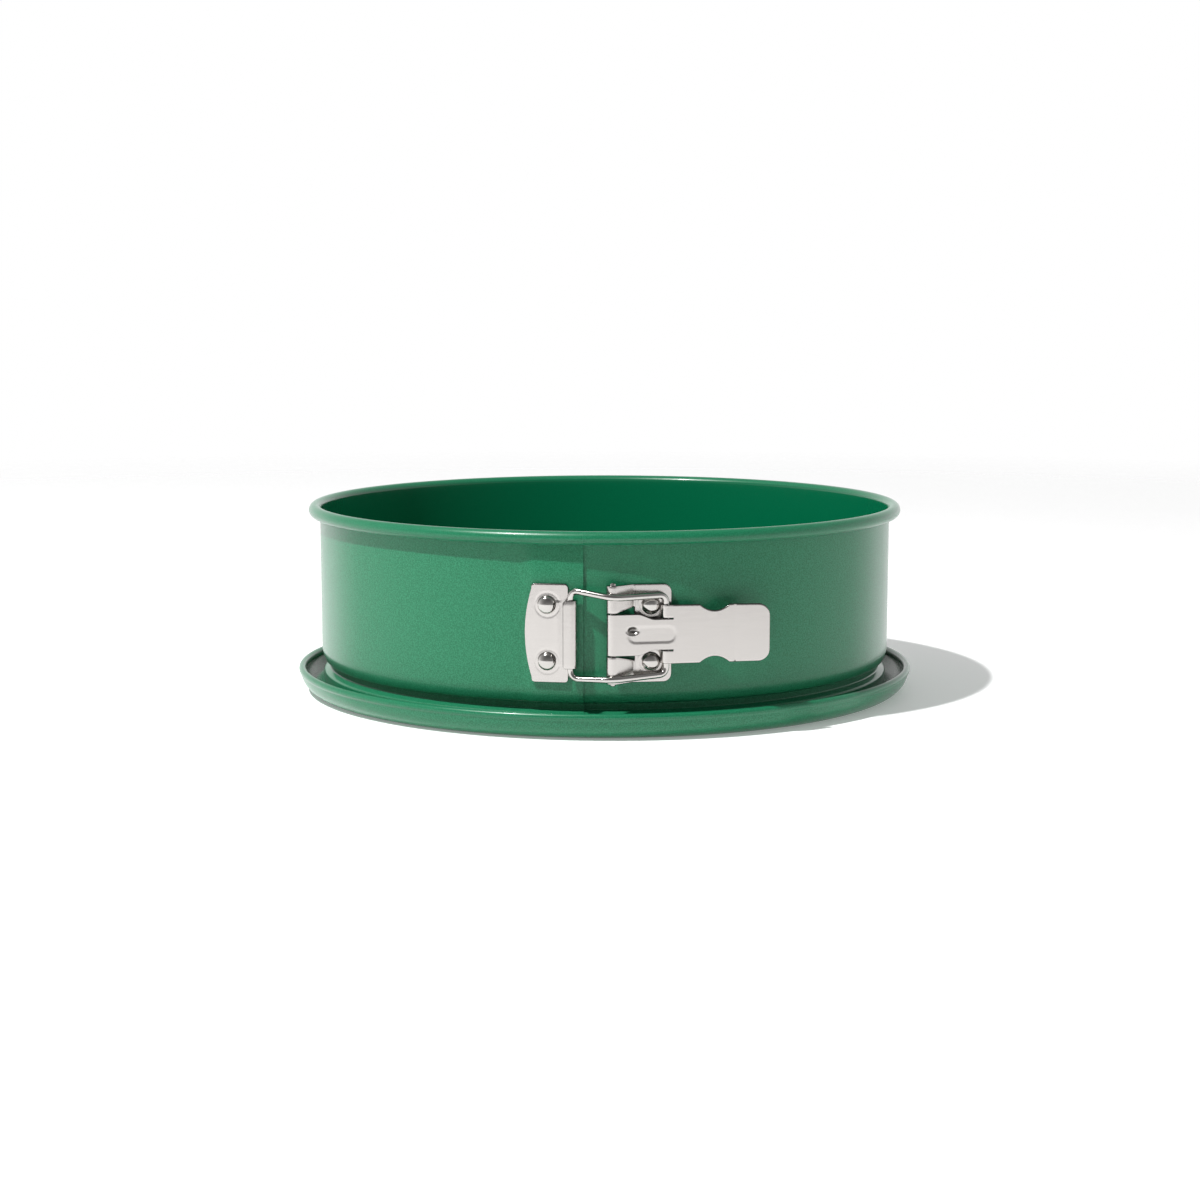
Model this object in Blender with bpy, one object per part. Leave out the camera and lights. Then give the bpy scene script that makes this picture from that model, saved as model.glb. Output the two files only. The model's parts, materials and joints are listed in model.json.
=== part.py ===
"""A springform cake pan with a drip-tray base and an over-centre latch.

Blender script, +Z up. The frame's origin is on the pan's axis, level with the table. The latch faces -Y.
Sizes below are in millimetres, and MM turns them into metres where a mesh is made.
Angles round the pan start at the latch (-Y) and grow towards +X.
"""

import math

import bmesh
import bpy
import numpy as np
from mathutils import Vector

MM = 0.001
TURN_SEGMENTS = 72

# Ring: a band of sheet steel with a rolled rim, a groove near its lower edge, and a foot.
WALL_INNER_R = 99.9
WALL_SHEET = 0.5
WALL_OUTER_R = WALL_INNER_R + WALL_SHEET
RIM_TUBE_R = 2.19
RIM_CENTRE_Z = 63.64
GROOVE_TOP_Z = 15.0
GROOVE_LIP_Z = 11.0
GROOVE_FLOOR_R = 97.3
LEDGE_Z = 7.5
FOOT_OUTER_R = 99.8
FOOT_BOTTOM_Z = 1.9

# Where the band divides: its two ends at the seam, and the two lines on which it bends as it springs open.
SEAM_X = -6.8
SEAM_GAP = 0.5
TUCK_END_X = -15.0
TUCK_BOTTOM_Z = 16.5
TUCK_TOP_Z = 60.2
JOGGLE = 0.8
JOGGLE_START_X = -27.0
JOGGLE_END_X = -22.0
FLEX_ANGLE = 150.0
FLEX_GAP = 0.5

# Base: one stamped plate with a raised floor, a trough round it, and a rolled edge.
BASE_SHEET = 0.8
PLATEAU_R = 96.3
PLATEAU_TOP_Z = 7.2
PLATEAU_CORNER_R = 1.5
TROUGH_FILLET_R = 1.5
TRAY_ARC_R = 7.5
TRAY_ARC_CENTRE_R = 100.6
TRAY_BEAD_TUBE_R = 1.25
TRAY_BEAD_R = 107.4
TRAY_BEAD_Z = 7.7

# Latch hardware: bent from one gauge of steel sheet, with a wire bail and a round hinge pin.
GAUGE = 1.0
LATCH_Z = 33.5
SEAT_GAP = 0.2
RUNNING_GAP = 0.25
WIRE_R = 1.035
PIN_R = 1.0
PIN_BORE_R = 1.12
PIN_X = 2.4
PIN_Y = -104.2
PIN_XY = (PIN_X, PIN_Y)
PIN_HALF_LENGTH = 16.4

CATCH_LEFT_X = -25.2
CATCH_HALF_HEIGHT = 15.7
CATCH_PLATE_RIGHT_X = -11.9
BARREL_HALF_HEIGHT = 10.8
BARREL_X = -10.9
BARREL_FLAP = 2.2

BRACKET_RIGHT_X = 20.7
BRACKET_HALF_HEIGHT = 15.6
FLANGE_START_X = 8.7
WINDOW_HALF_HEIGHT = 6.9
WINDOW_RIGHT_X = 9.2

LEVER_SHEET = 0.9
LEVER_TILT = 9.5
LEVER_TAB_TILT = 8.0
LEVER_BEND_AT = 38.7
LEVER_LENGTH = 49.9
TONGUE_HALF_WIDTH = 6.6
WAIST_HALF_WIDTH = 5.0
LEVER_HALF_WIDTH = 9.3
SHOULDER_AT = 15.4
WAIST_START = 7.5
WAIST_END = 13.2
NOTCH_AT = 32.2
NOTCH_HALF_LENGTH = 4.8
NOTCH_DEPTH = 2.0
TAB_CORNER_R = 3.7

BAIL_LEG_AT = 17.0
BAIL_APEX_Y = -108.1
BAIL_LEFT_HALF_HEIGHT = 14.0
BAIL_APEX_HALF_HEIGHT = 12.9
BAIL_RIGHT_HALF_HEIGHT = 12.3

RIVET_HEAD_R = 3.1
RIVET_HEAD_HEIGHT = 1.9
RIVET_SHANK_R = 1.5
RIVET_HOLE_R = 1.75
RIVET_TAIL_R = 2.4
RIVET_TAIL_HEIGHT = 0.6
RIVET_SPREAD = 9.0
CATCH_RIVET_X = -18.1
BRACKET_RIVET_X = 14.2


# ---------------------------------------------------------------- helpers


def clear_scene():
    for obj in list(bpy.data.objects):
        bpy.data.objects.remove(obj, do_unlink=True)


def finish_material(name, colour, roughness, metallic):
    material = bpy.data.materials.new(name)
    material.use_nodes = True
    shader = material.node_tree.nodes["Principled BSDF"]
    shader.inputs["Base Color"].default_value = (*colour, 1.0)
    shader.inputs["Roughness"].default_value = roughness
    shader.inputs["Metallic"].default_value = metallic
    return material


def green_enamel(name):
    return finish_material(name, (0.03, 0.27, 0.15), 0.32, 0.0)


def satin_steel(name):
    return finish_material(name, (0.72, 0.70, 0.68), 0.35, 1.0)


def add_object(name, points_mm, faces, material, origin_mm=(0.0, 0.0, 0.0)):
    """An object whose origin is at origin_mm, made of points given in the pan's frame."""
    origin = np.array(origin_mm)
    mesh = bpy.data.meshes.new(name)
    mesh.from_pydata(((np.array(points_mm) - origin) * MM).tolist(), [], faces)
    mesh.validate()
    mesh.shade_smooth()
    mesh.set_sharp_from_angle(angle=math.radians(32))
    mesh.materials.append(material)
    obj = bpy.data.objects.new(name, mesh)
    obj.location = origin * MM
    bpy.context.scene.collection.objects.link(obj)
    return obj


def make_cutter(obj):
    obj.hide_render = True
    obj.display_type = "WIRE"
    return obj


def apply_boolean(obj, other, operation):
    modifier = obj.modifiers.new(other.name, "BOOLEAN")
    modifier.operation = operation
    modifier.object = other
    modifier.solver = "EXACT"


def arc(centre, radius, start_degrees, end_degrees, steps):
    """Points (r, z) on an arc, both ends included."""
    angles = np.radians(np.linspace(start_degrees, end_degrees, steps + 1))
    return [(centre[0] + radius * math.cos(a), centre[1] + radius * math.sin(a)) for a in angles]


def place(radius, height, degrees):
    """A point of the pan's frame, from a radius, a height and an angle round the pan."""
    angle = math.radians(degrees)
    return (radius * math.sin(angle), -radius * math.cos(angle), height)


def angle_at_x(x, radius=WALL_OUTER_R):
    return math.degrees(math.asin(x / radius))


def smoothstep(value):
    value = min(max(value, 0.0), 1.0)
    return value * value * (3.0 - 2.0 * value)


def sweep_round(name, outline_at, angles, material, origin_mm=(0.0, 0.0, 0.0)):
    """A solid: a closed outline (r, z) carried round the pan through the given angles, with flat ends."""
    rings = [[place(r, z, angle) for r, z in outline_at(angle)] for angle in angles]
    size = len(rings[0])
    faces = []
    for ring in range(len(rings) - 1):
        for i in range(size):
            j = (i + 1) % size
            faces.append((ring * size + i, ring * size + j, (ring + 1) * size + j, (ring + 1) * size + i))
    last = (len(rings) - 1) * size
    faces.append(tuple(range(size - 1, -1, -1)))
    faces.append(tuple(range(last, last + size)))
    points = [point for ring in rings for point in ring]
    return outward(add_object(name, points, faces, material, origin_mm))


def turn_solid(name, outline, material, to_frame, segments):
    """A turned solid. Its outline (r, h) starts and ends on the axis, and to_frame places (x, y, h)."""
    rims = outline[1:-1]
    points = [to_frame(0.0, 0.0, outline[0][1]), to_frame(0.0, 0.0, outline[-1][1])]
    for step in range(segments):
        angle = 2.0 * math.pi * step / segments
        points += [to_frame(r * math.cos(angle), r * math.sin(angle), h) for r, h in rims]
    size = len(rims)
    faces = []
    for step in range(segments):
        here = 2 + step * size
        there = 2 + ((step + 1) % segments) * size
        faces.append((0, here, there))
        faces.append((1, there + size - 1, here + size - 1))
        for i in range(size - 1):
            faces.append((here + i, here + i + 1, there + i + 1, there + i))
    return outward(add_object(name, points, faces, material))


def outward(obj):
    """The same object with every face turned to the outside of its solid."""
    shape = bmesh.new()
    shape.from_mesh(obj.data)
    bmesh.ops.recalc_face_normals(shape, faces=shape.faces)
    shape.to_mesh(obj.data)
    shape.free()
    return obj


def bent_sheet(name, path, half_heights, thickness, material, origin_mm=(0.0, 0.0, 0.0)):
    """A strip of sheet that follows a path (x, y) seen from above, and is half_heights tall either side of
    the latch's level."""
    route = np.array(path)
    along = np.gradient(route, axis=0)
    along /= np.linalg.norm(along, axis=1)[:, None]
    side = np.stack([along[:, 1], -along[:, 0]], axis=1) * thickness / 2.0
    points, faces = [], []
    for (x, y), (side_x, side_y), half in zip(route, side, half_heights):
        for sign_side, sign_z in ((1, 1), (-1, 1), (-1, -1), (1, -1)):
            points.append((x + sign_side * side_x, y + sign_side * side_y, LATCH_Z + sign_z * half))
    for station in range(len(path) - 1):
        for i in range(4):
            j = (i + 1) % 4
            faces.append((station * 4 + i, station * 4 + j, station * 4 + 4 + j, station * 4 + 4 + i))
    last = (len(path) - 1) * 4
    faces.append((3, 2, 1, 0))
    faces.append((last, last + 1, last + 2, last + 3))
    return outward(add_object(name, points, faces, material, origin_mm))


def circle_route(centre, radius, start_degrees, end_degrees, steps):
    """Points (x, y) on a circle seen from above, with angles from +X towards +Y."""
    return arc(centre, radius, start_degrees, end_degrees, steps)


def wall_route(radius, start_x, end_x, steps):
    """Points (x, y) on a circle round the pan's axis, from one x to another, on the latch's side."""
    start, end = math.asin(start_x / radius), math.asin(end_x / radius)
    return [(radius * math.sin(a), -radius * math.cos(a)) for a in np.linspace(start, end, steps + 1)]


def rounded_loop(corners, radii, steps):
    """A closed route through 3-D corners, each rounded off by a curve that starts radius away from it."""
    corners = [np.array(corner) for corner in corners]
    route = []
    for i, (corner, radius) in enumerate(zip(corners, radii)):
        before = corners[i - 1] - corner
        after = corners[(i + 1) % len(corners)] - corner
        start = corner + before / np.linalg.norm(before) * radius
        end = corner + after / np.linalg.norm(after) * radius
        for t in np.linspace(0.0, 1.0, steps + 1):
            route.append((1 - t) ** 2 * start + 2 * t * (1 - t) * corner + t**2 * end)
    return route


# ---------------------------------------------------------------- ring


def joggle_at(degrees):
    """How far the band's left end stands out, so that it laps over the right end."""
    start, end = angle_at_x(JOGGLE_START_X), angle_at_x(JOGGLE_END_X)
    return JOGGLE * smoothstep((degrees - start) / (end - start))


def band_outline(shift=0.0):
    """The band's section (r, z), moved out by shift: up the inside, over the rolled rim, and down the
    outside to the foot."""
    sheet = WALL_SHEET
    rim_centre = (WALL_INNER_R + RIM_TUBE_R, RIM_CENTRE_Z)
    inside = [
        (FOOT_OUTER_R - sheet, FOOT_BOTTOM_Z),
        (FOOT_OUTER_R - sheet, LEDGE_Z - 0.9),
        (GROOVE_FLOOR_R - sheet, LEDGE_Z + 0.4),
        (GROOVE_FLOOR_R - sheet, GROOVE_LIP_Z + 0.1),
        (WALL_INNER_R - 0.9, GROOVE_LIP_Z + 0.5),
        (WALL_INNER_R - 0.25, GROOVE_LIP_Z + 2.0),
        (WALL_INNER_R, GROOVE_TOP_Z),
    ]
    rim = arc(rim_centre, RIM_TUBE_R, 180, -135, 10)
    outside = [
        (WALL_OUTER_R, RIM_CENTRE_Z - RIM_TUBE_R),
        (WALL_OUTER_R, GROOVE_TOP_Z),
        (WALL_OUTER_R - 0.3, GROOVE_LIP_Z + 1.8),
        (WALL_OUTER_R - 1.2, GROOVE_LIP_Z),
        (GROOVE_FLOOR_R, GROOVE_LIP_Z - 0.4),
        (GROOVE_FLOOR_R, LEDGE_Z + 0.8),
        (FOOT_OUTER_R - 0.3, LEDGE_Z),
        (FOOT_OUTER_R, LEDGE_Z - 0.5),
        (FOOT_OUTER_R, FOOT_BOTTOM_Z),
    ]
    return [(r + shift, z) for r, z in inside + rim + outside]


def spaced(start, end, step):
    return list(np.linspace(start, end, max(1, round(abs(end - start) / step)) + 1))


def flex_axis(side):
    """Where the band's back arc meets a side arc; side is -1 on the left and +1 on the right."""
    x, y, _ = place((WALL_INNER_R + WALL_OUTER_R) / 2.0, 0.0, side * FLEX_ANGLE)
    return (x, y, 0.0)


def cut_rivet_holes(obj, x, radius):
    for sign, word in ((1, "upper"), (-1, "lower")):
        cutter = rivet_solid(
            f"{obj.name}_{word}_hole",
            [(0.0, 6.0), (RIVET_HOLE_R, 6.0), (RIVET_HOLE_R, -6.0), (0.0, -6.0)],
            x,
            radius,
            sign,
            satin_steel("hole"),
        )
        apply_boolean(obj, make_cutter(cutter), "DIFFERENCE")


def band_back():
    half_gap = math.degrees(FLEX_GAP / 2.0 / WALL_INNER_R)
    angles = spaced(FLEX_ANGLE + half_gap, 360.0 - FLEX_ANGLE - half_gap, 360.0 / TURN_SEGMENTS)
    return sweep_round("band_back", lambda _: band_outline(), angles, green_enamel("band_back"))


def band_left():
    half_gap = math.degrees(FLEX_GAP / 2.0 / WALL_INNER_R)
    bend = angle_at_x(JOGGLE_START_X)
    straight = angle_at_x(JOGGLE_END_X)
    angles = spaced(-FLEX_ANGLE + half_gap, bend, 360.0 / TURN_SEGMENTS)
    angles += spaced(bend, straight, 0.7)[1:] + spaced(straight, angle_at_x(SEAM_X), 3.0)[1:]
    band = sweep_round(
        "band_left", lambda a: band_outline(joggle_at(a)), angles, green_enamel("band_left"), flex_axis(-1)
    )
    cut_rivet_holes(band, CATCH_RIVET_X, WALL_OUTER_R + JOGGLE)
    return band


def band_right():
    half_gap = math.degrees(FLEX_GAP / 2.0 / WALL_INNER_R)
    start = angle_at_x(SEAM_X + SEAM_GAP)
    angles = spaced(start, 16.0, 3.0) + spaced(16.0, FLEX_ANGLE - half_gap, 360.0 / TURN_SEGMENTS)[1:]
    enamel = green_enamel("band_right")
    band = sweep_round("band_right", lambda _: band_outline(), angles, enamel, flex_axis(1))
    inner, outer = WALL_INNER_R + 0.05, WALL_OUTER_R - 0.05

    def tuck_outline(_):
        return [(inner, TUCK_BOTTOM_Z), (inner, TUCK_TOP_Z), (outer, TUCK_TOP_Z), (outer, TUCK_BOTTOM_Z)]

    tuck_angles = [angle_at_x(TUCK_END_X), (angle_at_x(TUCK_END_X) + start) / 2.0, start, start + 1.4]
    tuck = sweep_round("band_right_tuck", tuck_outline, tuck_angles, green_enamel("tuck"))
    apply_boolean(band, make_cutter(tuck), "UNION")
    cut_rivet_holes(band, BRACKET_RIVET_X, WALL_OUTER_R)
    return band


# ---------------------------------------------------------------- base


def base_plate():
    sheet = BASE_SHEET
    plateau_centre = (PLATEAU_R - PLATEAU_CORNER_R, PLATEAU_TOP_Z - PLATEAU_CORNER_R)
    trough_centre = (PLATEAU_R + TROUGH_FILLET_R, sheet + TROUGH_FILLET_R)
    tray_centre = (TRAY_ARC_CENTRE_R, TRAY_ARC_R)
    bead_centre = (TRAY_BEAD_R, TRAY_BEAD_Z)
    top = [(0.0, PLATEAU_TOP_Z)]
    top += arc(plateau_centre, PLATEAU_CORNER_R, 90, 0, 3)
    top += arc(trough_centre, TROUGH_FILLET_R, 180, 270, 3)
    top += arc(tray_centre, TRAY_ARC_R - sheet, -90, -12, 6)
    bead = arc(bead_centre, TRAY_BEAD_TUBE_R, 205, -40, 9)
    under = arc(tray_centre, TRAY_ARC_R, -9, -90, 6)
    under += arc(trough_centre, TROUGH_FILLET_R + sheet, 270, 180, 3)
    under += arc(plateau_centre, PLATEAU_CORNER_R - sheet, 0, 90, 2)
    under += [(0.0, PLATEAU_TOP_Z - sheet)]
    return turn_solid(
        "base_plate",
        top + bead + under,
        green_enamel("base_plate"),
        lambda x, y, h: (x, y, h),
        TURN_SEGMENTS,
    )


# ---------------------------------------------------------------- latch


def rivet_solid(name, outline, x, radius, sign, material):
    """A turned solid whose axis runs out of the wall at x, with height 0 at the given radius."""
    angle = math.asin(x / radius)
    out = np.array((math.sin(angle), -math.cos(angle), 0.0))
    along = np.array((math.cos(angle), math.sin(angle), 0.0))
    foot = out * radius + np.array((0.0, 0.0, LATCH_Z + sign * RIVET_SPREAD))

    def to_frame(a, b, h):
        return tuple(foot + along * a + np.array((0.0, 0.0, b)) + out * h)

    return turn_solid(name, outline, material, to_frame, 20)


def rivets(prefix, x, wall_radius, plate_radius):
    """Two rivets: a domed head on the plate, a shank through plate and wall, and a flat tail inside."""
    seat = plate_radius + GAUGE - wall_radius + SEAT_GAP
    tail = -(WALL_SHEET + SEAT_GAP)
    turns = np.linspace(0.0, math.pi / 2, 7)
    dome = [(RIVET_HEAD_R * math.sin(t), seat + RIVET_HEAD_HEIGHT * math.cos(t)) for t in turns]
    outline = dome + [(RIVET_SHANK_R, seat), (RIVET_SHANK_R, tail), (RIVET_TAIL_R, tail)]
    outline += [(RIVET_TAIL_R - 0.3, tail - RIVET_TAIL_HEIGHT), (0.0, tail - RIVET_TAIL_HEIGHT)]
    for sign, word in ((1, "upper"), (-1, "lower")):
        name = f"{prefix}_rivet_{word}"
        rivet_solid(name, outline, x, wall_radius, sign, satin_steel(name))


def barrel_centre():
    """Where the bail's left leg lies, as (x, y)."""
    radius = WALL_OUTER_R + JOGGLE + SEAT_GAP + GAUGE + RUNNING_GAP + WIRE_R
    return (BARREL_X, -math.sqrt(radius**2 - BARREL_X**2))


def catch_bracket():
    """A bowed plate on the band's left end, whose right side folds round the bail's leg."""
    middle_r = WALL_OUTER_R + JOGGLE + SEAT_GAP + GAUGE / 2.0
    centre = barrel_centre()
    normal = math.degrees(math.atan2(centre[1], centre[0]))
    fold_r = WIRE_R + RUNNING_GAP + GAUGE / 2.0
    bow = 2.2
    bow_x = [CATCH_LEFT_X + bow * share for share in (0.02, 0.1, 0.25, 0.5, 0.8, 1.0)]
    heights = [14.3 * math.sqrt((x - CATCH_LEFT_X) / bow) for x in bow_x]
    plate = [wall_route(middle_r, x, x, 0)[0] for x in bow_x]
    plate += wall_route(middle_r, CATCH_LEFT_X + bow + 0.6, CATCH_PLATE_RIGHT_X, 5)
    heights += [15.2] + [CATCH_HALF_HEIGHT] * 5
    fold = wall_route(middle_r, CATCH_PLATE_RIGHT_X + 0.05, CATCH_PLATE_RIGHT_X + 0.06, 1)[:1]
    fold += circle_route(centre, fold_r, normal + 180.0, normal + 360.0, 10)
    tangent = math.radians(normal + 90.0)
    end = fold[-1]
    for share in (0.5, 1.0):
        fold.append(
            (
                end[0] - BARREL_FLAP * share * math.cos(tangent),
                end[1] - BARREL_FLAP * share * math.sin(tangent),
            )
        )
    heights += [BARREL_HALF_HEIGHT] * len(fold)
    bracket = bent_sheet("catch_bracket", plate + fold, heights, GAUGE, satin_steel("catch_bracket"))
    cut_rivet_holes(bracket, CATCH_RIVET_X, WALL_OUTER_R + JOGGLE)
    return bracket


def lever_bracket():
    """A plate on the band's right end, with two arms that rise from it and curl round the hinge pin."""
    middle_r = WALL_OUTER_R + SEAT_GAP + GAUGE / 2.0
    curl_r = PIN_BORE_R + GAUGE / 2.0
    pin = np.array((PIN_X, PIN_Y))
    corner = 2.0
    ends = [(BRACKET_RIGHT_X - corner * share, share) for share in (0.02, 0.15, 0.4, 0.7, 1.0)]
    plate = [wall_route(middle_r, x, x, 0)[0] for x, _ in ends]
    heights = [BRACKET_HALF_HEIGHT - corner + corner * math.sqrt(1 - (1 - share) ** 2) for _, share in ends]
    plate += wall_route(middle_r, BRACKET_RIGHT_X - corner, FLANGE_START_X, 4)[1:]
    start = np.array(plate[-1])
    reach = start - pin
    touch = math.degrees(math.atan2(reach[1], reach[0]) - math.acos(curl_r / np.linalg.norm(reach)))
    curl = circle_route(PIN_XY, curl_r, touch, touch - 250.0, 14)
    flange = [tuple(start + (np.array(curl[0]) - start) * share) for share in (0.12, 0.5, 0.88)]
    route = plate + flange + curl
    heights += [BRACKET_HALF_HEIGHT] * (len(route) - len(heights))
    bracket = bent_sheet("lever_bracket", route, heights, GAUGE, satin_steel("lever_bracket"))
    window = box_solid(
        "lever_bracket_window",
        (PIN_X - 6.0, PIN_Y - 6.0, LATCH_Z - WINDOW_HALF_HEIGHT),
        (WINDOW_RIGHT_X, PIN_Y + 8.0, LATCH_Z + WINDOW_HALF_HEIGHT),
    )
    apply_boolean(bracket, make_cutter(window), "DIFFERENCE")
    cut_rivet_holes(bracket, BRACKET_RIVET_X, WALL_OUTER_R)
    return bracket


def box_solid(name, low, high):
    corners = [(x, y, z) for x in (low[0], high[0]) for y in (low[1], high[1]) for z in (low[2], high[2])]
    faces = [(0, 1, 3, 2), (4, 6, 7, 5), (0, 4, 5, 1), (2, 3, 7, 6), (0, 2, 6, 4), (1, 5, 7, 3)]
    return outward(add_object(name, corners, faces, satin_steel(name)))


def hinge_pin():
    half, chamfer = PIN_HALF_LENGTH, 0.3
    outline = [(0.0, half), (PIN_R - chamfer, half), (PIN_R, half - chamfer)]
    outline += [(r, -h) for r, h in reversed(outline)]

    def to_frame(x, y, h):
        return (PIN_X + x, PIN_Y + y, LATCH_Z + h)

    return turn_solid("hinge_pin", outline, satin_steel("hinge_pin"), to_frame, 16)


def lever_half_width(distance):
    """Half the lever's width, at a distance from the pin along its plate."""
    if distance < SHOULDER_AT:
        share = smoothstep((distance - WAIST_START) / (WAIST_END - WAIST_START))
        return TONGUE_HALF_WIDTH + (WAIST_HALF_WIDTH - TONGUE_HALF_WIDTH) * share
    width = LEVER_HALF_WIDTH
    offset = abs(distance - NOTCH_AT)
    if offset < NOTCH_HALF_LENGTH:
        radius = (NOTCH_HALF_LENGTH**2 + NOTCH_DEPTH**2) / (2 * NOTCH_DEPTH)
        width -= math.sqrt(radius**2 - offset**2) - (radius - NOTCH_DEPTH)
    from_end = LEVER_LENGTH - distance
    if from_end < TAB_CORNER_R:
        width -= TAB_CORNER_R - math.sqrt(TAB_CORNER_R**2 - (TAB_CORNER_R - from_end) ** 2)
    return width


def lever():
    """A tongue curled round the pin, widening into a plate with thumb notches and a bent tab."""
    pin = np.array(PIN_XY)
    curl_r = PIN_BORE_R + LEVER_SHEET / 2.0
    tilt, tab_tilt = math.radians(LEVER_TILT), math.radians(LEVER_TAB_TILT)
    front = LEVER_TILT - 90.0
    curl = circle_route(PIN_XY, curl_r, front - 262.0, front, 15)
    along = np.array((math.cos(tilt), math.sin(tilt)))
    tab_along = np.array((math.cos(tab_tilt), math.sin(tab_tilt)))
    start = pin + curl_r * np.array((math.sin(tilt), -math.cos(tilt)))
    distances = [2.5, WAIST_START, 9.4, 11.3, WAIST_END, SHOULDER_AT - 0.05, SHOULDER_AT, 22.0]
    distances += list(NOTCH_AT + NOTCH_HALF_LENGTH * np.linspace(-1.0, 1.0, 11)) + [LEVER_BEND_AT, 43.0]
    distances += list(LEVER_LENGTH - TAB_CORNER_R * np.array((1.0, 0.6, 0.3, 0.12, 0.02)))
    plate = []
    for distance in distances:
        past = max(0.0, distance - LEVER_BEND_AT)
        plate.append(tuple(start + along * (distance - past) + tab_along * past))
    heights = [TONGUE_HALF_WIDTH] * len(curl) + [lever_half_width(distance) for distance in distances]
    return bent_sheet(
        "lever", curl + plate, heights, LEVER_SHEET, satin_steel("lever"), (PIN_X, PIN_Y, LATCH_Z)
    )


def bail_leg_xy():
    """Where the bail's right leg lies behind the lever, as (x, y)."""
    tilt = math.radians(LEVER_TILT)
    along = np.array((math.cos(tilt), math.sin(tilt)))
    front = np.array((math.sin(tilt), -math.cos(tilt)))
    behind = PIN_BORE_R - RUNNING_GAP - WIRE_R
    return tuple(np.array(PIN_XY) + along * BAIL_LEG_AT + front * behind)


def bail():
    """A closed wire loop: one leg in the catch's fold, one behind the lever, and two strands that bow
    out over the hinge's knuckles."""
    left, right = barrel_centre(), bail_leg_xy()
    upper = [
        (left[0], left[1], BAIL_LEFT_HALF_HEIGHT),
        (PIN_X, BAIL_APEX_Y, BAIL_APEX_HALF_HEIGHT),
        (right[0], right[1], BAIL_RIGHT_HALF_HEIGHT),
    ]
    corners = upper + [(x, y, -z) for x, y, z in reversed(upper)]
    route = rounded_loop(corners, [2.8, 3.0, 2.6, 2.6, 3.0, 2.8], 6)
    curve = bpy.data.curves.new("bail", "CURVE")
    curve.dimensions = "3D"
    curve.bevel_depth = WIRE_R * MM
    curve.bevel_resolution = 2
    spline = curve.splines.new("POLY")
    spline.points.add(len(route) - 1)
    for point, (x, y, z) in zip(spline.points, route):
        offset = Vector((x - left[0], y - left[1], z)) * MM
        point.co = (*offset, 1.0)
    spline.use_cyclic_u = True
    spline.use_smooth = True
    curve.materials.append(satin_steel("bail"))
    obj = bpy.data.objects.new("bail", curve)
    obj.location = Vector((left[0], left[1], LATCH_Z)) * MM
    bpy.context.scene.collection.objects.link(obj)
    return obj


def build():
    clear_scene()
    base_plate()
    band_back()
    band_left()
    band_right()
    catch_bracket()
    lever_bracket()
    hinge_pin()
    lever()
    bail()
    rivets("catch", CATCH_RIVET_X, WALL_OUTER_R + JOGGLE, WALL_OUTER_R + JOGGLE + SEAT_GAP)
    rivets("bracket", BRACKET_RIVET_X, WALL_OUTER_R, WALL_OUTER_R + SEAT_GAP)


build()
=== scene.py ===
# %% [markdown]
# # A springform cake pan
# The pan is a sprung steel ring on a drip-tray base, closed by a wire bail and an over-centre lever.
# Every piece of its frame is already measured and jointed, so this lesson only gives the pieces their
# fine surfaces and finishes. Each surface is a formula on a grid: a section carried along a path, as
# whole arrays.

# %% Load the frame
import json
import math

import bmesh
import bpy
import numpy as np
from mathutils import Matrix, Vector


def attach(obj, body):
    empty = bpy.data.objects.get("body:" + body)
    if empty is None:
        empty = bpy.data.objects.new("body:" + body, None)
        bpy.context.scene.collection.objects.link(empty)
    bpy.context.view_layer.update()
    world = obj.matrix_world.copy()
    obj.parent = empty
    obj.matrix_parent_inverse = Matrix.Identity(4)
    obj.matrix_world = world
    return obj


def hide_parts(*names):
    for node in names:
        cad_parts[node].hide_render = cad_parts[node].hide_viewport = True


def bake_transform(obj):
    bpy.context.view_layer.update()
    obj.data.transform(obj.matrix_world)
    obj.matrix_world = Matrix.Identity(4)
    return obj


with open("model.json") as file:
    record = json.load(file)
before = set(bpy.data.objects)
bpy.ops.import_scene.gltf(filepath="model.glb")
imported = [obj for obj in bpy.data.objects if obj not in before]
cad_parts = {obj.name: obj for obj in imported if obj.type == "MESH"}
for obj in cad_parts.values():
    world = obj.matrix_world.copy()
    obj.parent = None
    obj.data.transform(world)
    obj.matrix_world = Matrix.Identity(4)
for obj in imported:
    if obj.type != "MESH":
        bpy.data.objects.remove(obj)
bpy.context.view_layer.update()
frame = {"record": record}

joints = {joint["name"]: joint for joint in frame["record"]["behaviour"]["joints"]}

# %% [markdown]
# ## Sizes
# The hinge pin, the fold that holds the bail and the level of the latch are read from the frame's joints,
# so that every curl sits on its axis. The rest are the gauges and radii that a press tool would be cut
# to, in millimetres.

# %% Driving sizes
MM = 0.001
PIN = np.array(joints["lever_swing"]["pos_m"]) / MM
FOLD = np.array(joints["bail_swing"]["pos_m"]) / MM
LATCH_Z = PIN[2]

WALL_SHEET = 0.5
WALL_OUTER_R = 100.4
WALL_MIDDLE_R = WALL_OUTER_R - WALL_SHEET / 2
RIM_TUBE_R = 2.18
RIM_CENTRE = (102.09, 63.64)
SEAM_LEFT_X, SEAM_RIGHT_X, TUCK_END_X = -6.8, -6.78, -15.0
JOGGLE, JOGGLE_START_X, JOGGLE_END_X = 0.8, -27.0, -22.0
WIRE_R, PIN_R, PIN_BORE_R = 1.035, 1.0, 1.12
GAUGE, LEVER_GAUGE, SEAT_GAP, RUNNING_GAP = 1.0, 0.9, 0.2, 0.25
TOOL_RING_R, TOOL_RING_DEPTH = 3.8, 0.05
print("pin", PIN.round(2), "fold", FOLD.round(2))

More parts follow.
